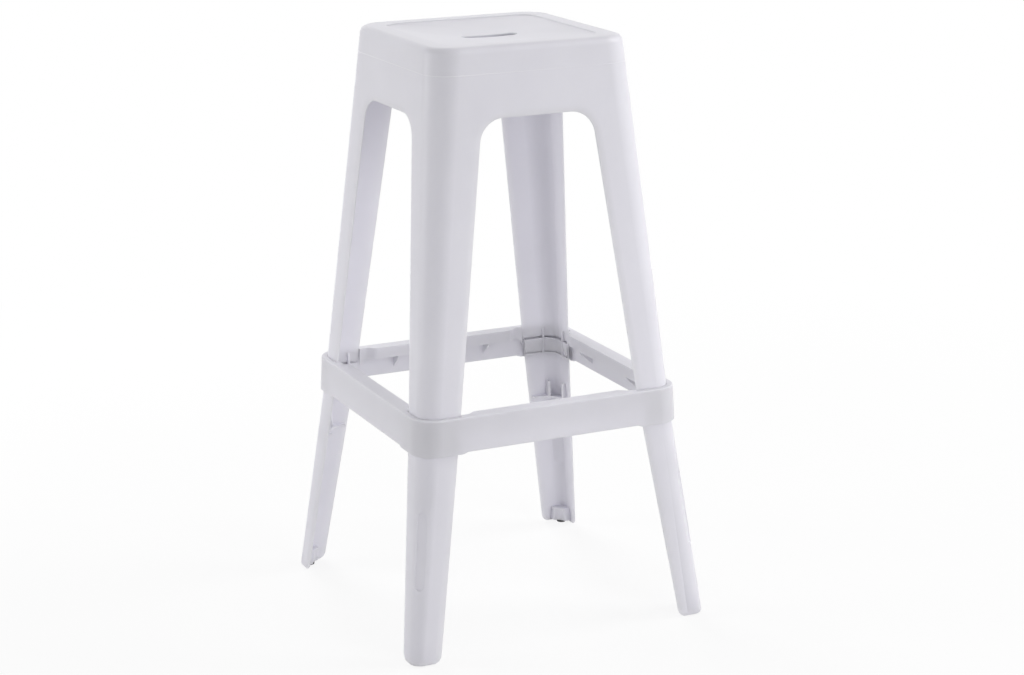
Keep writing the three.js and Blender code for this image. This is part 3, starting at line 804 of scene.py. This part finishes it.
def oblongRecess():
    # round at the floor and at the rim
    rim, steps = leg['oblongRimRound'], leg['oblongEdgeSteps']
    sections = [(-inset, rise - leg['oblongDepth'])
                for rise, inset in rounding(leg['oblongFloorRound'], steps)]
    sections += [(rise, -inset) for rise, inset in rounding(rim, steps)]
    sections.append((rim, form['over']))
    return oblongTool(sections)


def legCavity():
    # the leg's hollow and a little of its wall, so that what stands in it joins the wall
    top = form['kneeHeight'] - form['fit']
    cavity = loftPiece('cavity', [lowerFormOutline(form['legBottom'], rootDepth),
                                  lowerFormOutline(top, rootDepth)])
    return keep(cavity, quarterBlock(0, form['kneeHeight']))


def legShelf():
    # the shelf that rests on the ring of the stool below, with its two gussets
    reach, low, top = form['reach'], leg['shelfTop'] - leg['shelf'], leg['shelfTop']
    high = top + leg['gussetHeight']
    shelf = blockPiece('shelf', [((-reach, -reach, low), (0, 0, top))])
    gussets = [wallRibBlock(offset, face, leg['gussetThickness'], 0, low, high)
               for face, offset in enumerate(leg['gussetOffsets'])]
    for gusset in gussets:
        join(shelf, blockPiece('gusset', [gusset]))
    keep(shelf, legCavity())
    inner = halfAt(ringTop) + leg['stackGap']
    middle = [(inner, cornerAt(ringTop), z) for z in (low - form['over'], high + form['over'])]
    cut(shelf, loftPiece('shelfMiddle', middle))
    return cut(shelf, windowTool(lowerOutline, form['legBottom'], leg['shelfSetback']))


def footBlock():
    # carries the glide, and leaves room for the leg of the stool below
    reach, limit = form['reach'], form['footHalf'] - leg['blockWidth']
    low, high = leg['blockBottom'], leg['blockTop']
    block = blockPiece('footBlock', [((-reach, -reach, low), (-limit, -limit, high))])
    keep(block, legCavity())
    column = []
    for z in (low - form['over'], high + form['over']):
        level = z + form['stackPitch']
        column.append((halfAt(level) + leg['stackGap'], cornerAt(level) + leg['stackGap'], z))
    return cut(block, loftPiece('stackedColumn', column))


def boreOutline(radius, z):
    angles = [2 * math.pi * step / glide['boreSteps'] for step in range(glide['boreSteps'])]
    return [Vector((radius * math.cos(angle) - glideCentre,
                    radius * math.sin(angle) - glideCentre, z)) for angle in angles]


def buildLowerLeg():
    top = form['kneeHeight'] - form['fit']
    bottom = form['legBottom']
    outlines = [lowerFormOutline(bottom + rise, inset)
                for rise, inset in rounding(leg['footRadius'], leg['footSteps'])]
    outlines.append(lowerFormOutline(top, 0))
    piece = keep(loftPiece('lowerLegFrontLeft', outlines), quarterBlock(0, form['kneeHeight']))
    cut(piece, bandTool(lowerOutline, form['legBottom']))
    levels = (bottom - form['over'], top + form['over'])
    cut(piece, loftPiece('legHollow', [lowerFormOutline(z, form['wall']) for z in levels]))
    # the wall behind the oblong recess
    margin, depth = form['wall'] / 2, -leg['oblongDepth']
    join(piece, keep(oblongTool([(margin, depth - form['wall']), (margin, depth)]), legCavity()))
    join(piece, legShelf())
    join(piece, footBlock())
    cut(piece, roundedWindowTool(lowerOutline, form['legBottom']))
    cut(piece, oblongRecess())
    bore = glide['stem'] + form['fit']
    boreTop = leg['blockBottom'] + glide['stemLength'] + form['fit']
    cut(piece, loftPiece('glideBore', [boreOutline(bore, z) for z in (-form['over'], boreTop)]))
    return smooth(mergeClose(piece))


def buildGlide():
    # a disc and a stem, turned from one profile
    stemTop = leg['blockBottom'] + glide['stemLength']
    discTop = leg['blockBottom'] - form['fit']
    profile = [(0, 0)]
    profile += [(glide['radius'] - inset, rise)
                for rise, inset in rounding(glide['edge'], glide['edgeSteps'])]
    profile += [(glide['radius'], discTop), (glide['stem'], discTop),
                (glide['stem'], stemTop - glide['chamfer']),
                (glide['stem'] - glide['chamfer'], stemTop), (0, stemTop)]
    piece = startPiece('footGlideFrontLeft')
    drawPath([Vector((x - glideCentre, -glideCentre, z)) for x, z in profile])
    bpy.ops.mesh.select_all(action='SELECT')
    bpy.ops.mesh.spin(steps=glide['steps'], angle=2 * math.pi,
                      center=(-glideCentre, -glideCentre, 0), axis=(0, 0, 1))
    bpy.ops.mesh.select_all(action='SELECT')
    bpy.ops.mesh.remove_doubles(threshold=form['weld'])
    finishSolid()
    return smooth(piece)


def copyAcross(piece, names):
    # the same piece at the other three corners, each copy mirrored and with its own mesh
    copies = [piece]
    for name, flip in zip(names, ((-1, 1, 1), (-1, -1, 1), (1, -1, 1))):
        pick(piece)
        bpy.ops.object.duplicate()
        other = bpy.context.object
        other.name = name
        other.data.name = name
        other.scale = flip
        bpy.ops.object.transform_apply(scale=True)
        bpy.ops.object.mode_set(mode='EDIT')
        copies.append(finishSolid())
    return copies


# finishes
white = (1, 1, 1, 1)
noiseMiddle = 0.5


class Signal:
    # a socket that sums can be written on
    def __init__(self, tree, socket):
        self.tree = tree
        self.socket = socket

    def sum(self, operation, first, second):
        step = self.tree.nodes.new('ShaderNodeMath')
        step.operation = operation
        for socket, value in zip(step.inputs, (first, second)):
            plug(self.tree, socket, value)
        return Signal(self.tree, step.outputs[0])

    def size(self):
        return self.sum('ABSOLUTE', self, 0.0)

    def under(self, limit):
        return self.sum('LESS_THAN', self, limit)

    def __add__(self, other):
        return self.sum('ADD', self, other)

    __radd__ = __add__

    def __sub__(self, other):
        return self.sum('SUBTRACT', self, other)

    def __rsub__(self, other):
        return self.sum('SUBTRACT', other, self)

    def __mul__(self, other):
        return self.sum('MULTIPLY', self, other)

    __rmul__ = __mul__


def plug(tree, socket, value):
    if isinstance(value, Signal):
        tree.links.new(value.socket, socket)
    else:
        socket.default_value = value


class Finish:
    def __init__(self, owner):
        self.owner = owner
        owner.use_nodes = True
        self.tree = owner.node_tree
        self.tree.nodes.clear()

    def node(self, kind, settings=None, inputs=None, output=0):
        made = self.tree.nodes.new('ShaderNode' + kind)
        for name, value in (settings or {}).items():
            setattr(made, name, value)
        for name, value in (inputs or {}).items():
            plug(self.tree, made.inputs[name], value)
        return Signal(self.tree, made.outputs[output]) if made.outputs else None

    def ramp(self, factor, low, high):
        return self.node('MapRange', {'clamp': True, 'interpolation_type': 'SMOOTHSTEP'},
                         {'Value': factor, 'From Min': low, 'From Max': high})

    def blend(self, factor, first, second):
        # 6, 7 and output 2 are the colour sockets of a Mix node
        inputs = {'Factor': factor, 6: first, 7: second}
        return self.node('Mix', {'data_type': 'RGBA'}, inputs, output=2)

    def noise(self, place, scale, detail=2.0):
        return self.node('TexNoise', inputs={'Vector': place, 'Scale': scale, 'Detail': detail})

    def parts(self, vector):
        # its X, Y and Z
        split = self.node('SeparateXYZ', inputs={'Vector': vector}).socket.node
        return [Signal(self.tree, socket) for socket in split.outputs]

    def seen(self):
        # 1 for what the camera sees directly or in a gloss
        path = self.node('LightPath').socket.node
        rays = ('Is Camera Ray', 'Is Glossy Ray', 'Is Transmission Ray')
        return sum((Signal(self.tree, path.outputs[ray]) for ray in rays), 0.0)

    def surface(self, shader, kind='Material'):
        self.node('Output' + kind, inputs={'Surface': shader})
        return self.owner


plastic = {
    'pale': (0.805, 0.796, 0.853, 1), 'deep': (0.780, 0.771, 0.827, 1),
    'mottleScale': 14, 'mottleDetail': 4.0, 'mottleShare': 0.6,
    'cloudScale': 5, 'cloudShare': 0.4, 'patchRange': (0.3, 0.7),
    'grainScale': 1500, 'grainDepth': 0.00004, 'grainStrength': 0.5,
    'roughness': 0.42, 'mottleRoughness': 0.10, 'grainRoughness': 0.08,
    'refraction': 1.49, 'through': 0.65, 'throughDepth': 0.006,
    # a painted highlight along the mould line round the skirt, which fades between two places along
    # X
    'lineHighlight': (0.86, 0.853, 0.90, 1), 'highlightSoftness': 0.00015,
    'highlightFade': 0.8, 'highlightFadeFrom': (-0.09, 0.06),
    # painted shade on the walls of the hand slot
    'shade': (0.36, 0.357, 0.38, 1), 'shadeLeft': 0.05, 'shadeRight': 0.3,
    'shadeFrom': (-0.01, 0.03), 'shadeDrop': 0.0005,
    # the ring's painted shade, a tone that darkens its copy of the plastic, and where its pattern
    # lies
    'ringShadeTone': 0.97, 'ringShift': (0.7, 0.3, 0.1),
}


def slotPaintedShade(finish, place):
    # painted shade on the walls of the hand slot under its lip, darker towards the right
    x, y, z = finish.parts(place)
    margin = 2 * seat['slotRelief']
    alongSlot = x.size().under(seat['slotLength'] / 2 + margin)
    acrossSlot = y.size().under(seat['slotWidth'] / 2 + margin)
    underLip = z.under(dishFloor - plastic['shadeDrop'])
    spread = plastic['shadeRight'] - plastic['shadeLeft']
    depth = plastic['shadeLeft'] + spread * finish.ramp(x, *plastic['shadeFrom'])
    return alongSlot * acrossSlot * underLip * depth


def plasticFinish(name, shift=(0, 0, 0), tone=1.0, lineHeight=None):
    finish = Finish(bpy.data.materials.new(name))
    place = finish.node('TexCoord', output='Object')
    moved = finish.node('Mapping', inputs={'Vector': place, 'Location': shift})
    mottle = finish.noise(moved, plastic['mottleScale'], plastic['mottleDetail'])
    cloud = finish.noise(moved, plastic['cloudScale'])
    grain = finish.noise(moved, plastic['grainScale'])
    # a tone below 1 darkens both colours as painted shade
    deep, pale = [(*(tone * part for part in plastic[shade][:3]), 1) for shade in ('deep', 'pale')]
    patches = mottle * plastic['mottleShare'] + cloud * plastic['cloudShare']
    colour = finish.blend(finish.ramp(patches, *plastic['patchRange']), deep, pale)
    if lineHeight:
        # the seat body's mould line with a painted highlight along it, and its hand slot with
        # painted shade on its walls, both higher than any lower leg
        across, _, height = finish.parts(place)
        half, soft = seat['witnessHalf'], plastic['highlightSoftness']
        above = finish.ramp(height, lineHeight - half - soft, lineHeight - half)
        below = finish.ramp(height, lineHeight + half, lineHeight + half + soft)
        fading = 1 - plastic['highlightFade'] * finish.ramp(across, *plastic['highlightFadeFrom'])
        # a lighter band painted along the mould line as its highlight
        colour = finish.blend(above * (1 - below) * fading, colour, plastic['lineHighlight'])
        # painted shade on the hand slot's walls
        colour = finish.blend(slotPaintedShade(finish, place), colour, plastic['shade'])
    roughness = (plastic['roughness'] + (mottle - noiseMiddle) * plastic['mottleRoughness']
                 + (grain - noiseMiddle) * plastic['grainRoughness'])
    bump = finish.node('Bump', inputs={
        'Strength': plastic['grainStrength'], 'Distance': plastic['grainDepth'], 'Height': grain})
    shader = finish.node('BsdfPrincipled', inputs={
        'Base Color': colour, 'Roughness': roughness, 'Normal': bump, 'IOR': plastic['refraction'],
        'Subsurface Weight': plastic['through'], 'Subsurface Radius': (1, 1, 1),
        'Subsurface Scale': plastic['throughDepth']})
    return finish.surface(shader)


rubber = {
    'pale': (0.075, 0.075, 0.08, 1), 'deep': (0.04, 0.04, 0.043, 1),
    'grainScale': 220.0, 'grainDetail': 4.0, 'grainDepth': 0.0001, 'grainStrength': 0.5,
    'roughness': 0.62, 'grainRoughness': 0.2,
}


def rubberFinish(name):
    finish = Finish(bpy.data.materials.new(name))
    place = finish.node('TexCoord', output='Object')
    grain = finish.noise(place, rubber['grainScale'], rubber['grainDetail'])
    roughness = rubber['roughness'] + (grain - noiseMiddle) * rubber['grainRoughness']
    bump = finish.node('Bump', inputs={
        'Strength': rubber['grainStrength'], 'Distance': rubber['grainDepth'], 'Height': grain})
    shader = finish.node('BsdfPrincipled', inputs={
        'Base Color': finish.blend(grain, rubber['deep'], rubber['pale']),
        'Roughness': roughness, 'Normal': bump})
    return finish.surface(shader)


def dress(piece, material, node):
    piece.data.materials.clear()
    piece.data.materials.append(material)
    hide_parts(node)
    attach(piece, 'root')


bodyFinish = plasticFinish('bodyPlastic', lineHeight=seat['witnessHeight'])
# the ring's copy of the plastic, darkened as painted shade
ringFinish = plasticFinish('ringPlasticShaded', plastic['ringShift'], plastic['ringShadeTone'])
glideFinish = rubberFinish('glidePlastic')
print('finishes done')

dress(buildSeatBody(), bodyFinish, 'seat_body')
print('seat body done')
dress(buildRing(), ringFinish, 'footrest_ring')
print('footrest ring done')
corners = ('front_left', 'front_right', 'rear_right', 'rear_left')
cornerWords = ['FrontLeft', 'FrontRight', 'RearRight', 'RearLeft']
legs = copyAcross(buildLowerLeg(), ['lowerLeg' + word for word in cornerWords[1:]])
for legPiece, corner in zip(legs, corners):
    dress(legPiece, bodyFinish, 'lower_leg_' + corner)
print('lower legs done')
glides = copyAcross(buildGlide(), ['footGlide' + word for word in cornerWords[1:]])
for glidePiece, corner in zip(glides, corners):
    dress(glidePiece, glideFinish, 'foot_glide_' + corner)
print('glides done')


# floor, light and camera
stage = {
    'floorHalf': 30, 'clearRadius': 0.8, 'whiteRadius': 1.8, 'nearWhite': 0.84,
    'tone': 0.72, 'seenTone': 0.95,
}


def floorFinish():
    # a pale floor that the camera sees as white, but for its shadow near the stool
    finish = Finish(bpy.data.materials.new('paleFloor'))
    place = finish.node('TexCoord', output='Object')
    distance = finish.node('VectorMath', {'operation': 'LENGTH'}, {0: place}, output='Value')
    seen = finish.seen()
    far = finish.ramp(distance, stage['clearRadius'], stage['whiteRadius'])
    share = stage['nearWhite'] + (1 - stage['nearWhite']) * far
    tone = stage['tone'] + (stage['seenTone'] - stage['tone']) * seen
    matte = finish.node('BsdfDiffuse', inputs={'Color': tone})
    glow = finish.node('Emission', inputs={'Color': white, 'Strength': 1.0})
    return finish.surface(finish.node('MixShader', inputs={0: seen * share, 1: matte, 2: glow}))


bpy.ops.object.select_all(action='DESELECT')
bpy.ops.mesh.primitive_plane_add(size=2 * stage['floorHalf'])
floor = bpy.context.object
floor.name = 'floor'
floor.data.materials.append(floorFinish())

studio = {
    'world': 0.325, 'aim': 0.45, 'width': 1.6, 'height': 2.0,
    'lamps': [
        # name, degrees round from the front, degrees up, distance, power, shows in a gloss
        ('frontBox', 15, 12, 3.2, 33, False),
        ('rightBox', 75, 35, 3.2, 39.3, True),
        ('backBox', 180, 30, 3.2, 48, False),
        ('leftBox', 245, 12, 3.2, 34.5, True),
    ],
}
air = Finish(bpy.data.worlds.new('studioWorld'))
strength = studio['world'] + (1 - studio['world']) * air.seen()
sky = air.node('Background', inputs={'Color': white, 'Strength': strength})
bpy.context.scene.world = air.surface(sky, 'World')
aim = Vector((0, 0, studio['aim']))
for name, heading, rise, distance, power, glossy in studio['lamps']:
    heading, rise = math.radians(heading), math.radians(rise)
    towards = Vector((math.sin(heading) * math.cos(rise),
                      -math.cos(heading) * math.cos(rise), math.sin(rise)))
    bpy.ops.object.light_add(type='AREA', location=aim + distance * towards)
    lamp = bpy.context.object
    lamp.name = name
    lamp.data.shape = 'RECTANGLE'
    lamp.data.size = studio['width']
    lamp.data.size_y = studio['height']
    lamp.data.energy = power
    lamp.visible_glossy = glossy
    lamp.rotation_euler = towards.to_track_quat('Z', 'Y').to_euler()

view = {
    'place': (-1.23461, -2.71211, 1.17370), 'turn': (74.4919, 0.5240, -25.1019),
    'lens': 83.47, 'sensor': 36,
}
turn = [math.radians(angle) for angle in view['turn']]
bpy.ops.object.camera_add(location=view['place'], rotation=turn)
camera = bpy.context.object
camera.data.lens = view['lens']
camera.data.sensor_width = view['sensor']
bpy.context.scene.camera = camera
bpy.context.scene.view_settings.view_transform = 'Standard'
print('stage done')
